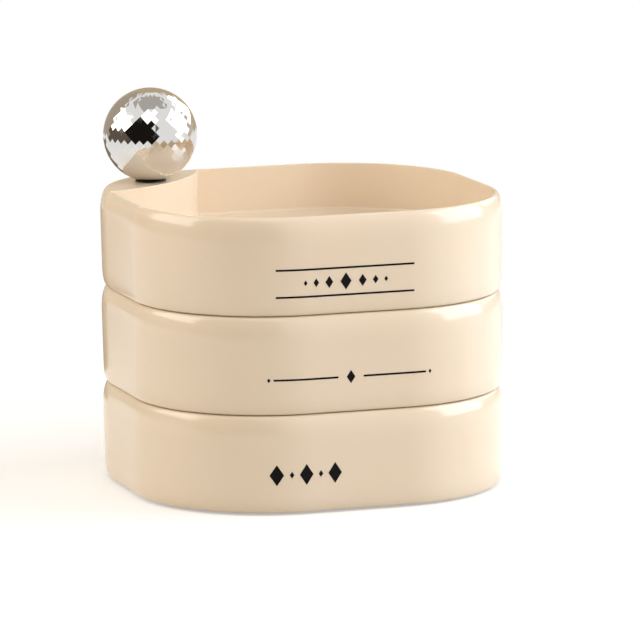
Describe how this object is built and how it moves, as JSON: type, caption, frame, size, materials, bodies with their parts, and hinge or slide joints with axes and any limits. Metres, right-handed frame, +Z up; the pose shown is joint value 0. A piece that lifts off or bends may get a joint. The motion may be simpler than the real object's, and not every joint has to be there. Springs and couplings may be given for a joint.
{
  "type": "rotating jewellery box",
  "caption": "Stack of rounded-square glossy cream trays that swing out about a corner pivot, held down by a faceted mirror ball knob.",
  "frame": {"origin": "on the surface the box stands on, under the middle of its plan", "axes": "+Z up, +Y to the back, where the ball's corner is, +X to the right seen from the printed front"},
  "size_m": [0.12, 0.115, 0.1224],
  "materials": {
    "cream_plastic": "high gloss cream ABS",
    "chrome_plate": "mirror chrome plating on diamond-faceted plastic",
    "black_nylon": "satin black",
    "white_nylon": "natural white nylon",
    "steel": "zinc plated",
    "brass": "machined",
    "rubber": "matt black"
  },
  "bodies": {
    "base": {"bottom_tray": "cream_plastic", "base_cover": "cream_plastic", "cover_screw_front": "steel", "cover_screw_right": "steel", "cover_screw_back": "steel", "cover_screw_left": "steel", "foot_front_left": "rubber", "foot_front_right": "rubber", "foot_back_right": "rubber", "foot_back_left": "rubber", "lower_thrust_washer": "white_nylon", "pivot_bolt": "steel", "wave_washer": "steel", "ball_collar": "black_nylon", "ball_insert": "brass", "ball_knob": "chrome_plate"},
    "middle_tier": {"middle_tray": "cream_plastic", "middle_lower_bush": "white_nylon", "middle_upper_bush": "white_nylon", "upper_thrust_washer": "white_nylon"},
    "top_tier": {"top_tray": "cream_plastic", "top_lower_bush": "white_nylon", "top_upper_bush": "white_nylon"}
  },
  "joints": [
    {"name": "middle_swing", "type": "hinge", "parent": "base", "child": "middle_tier", "pos_m": [-0.0384, 0.0359, 0.0466], "axis": [0, 0, 1], "continuous": true},
    {"name": "top_swing", "type": "hinge", "parent": "base", "child": "top_tier", "pos_m": [-0.0384, 0.0359, 0.0773], "axis": [0, 0, 1], "continuous": true}
  ]
}
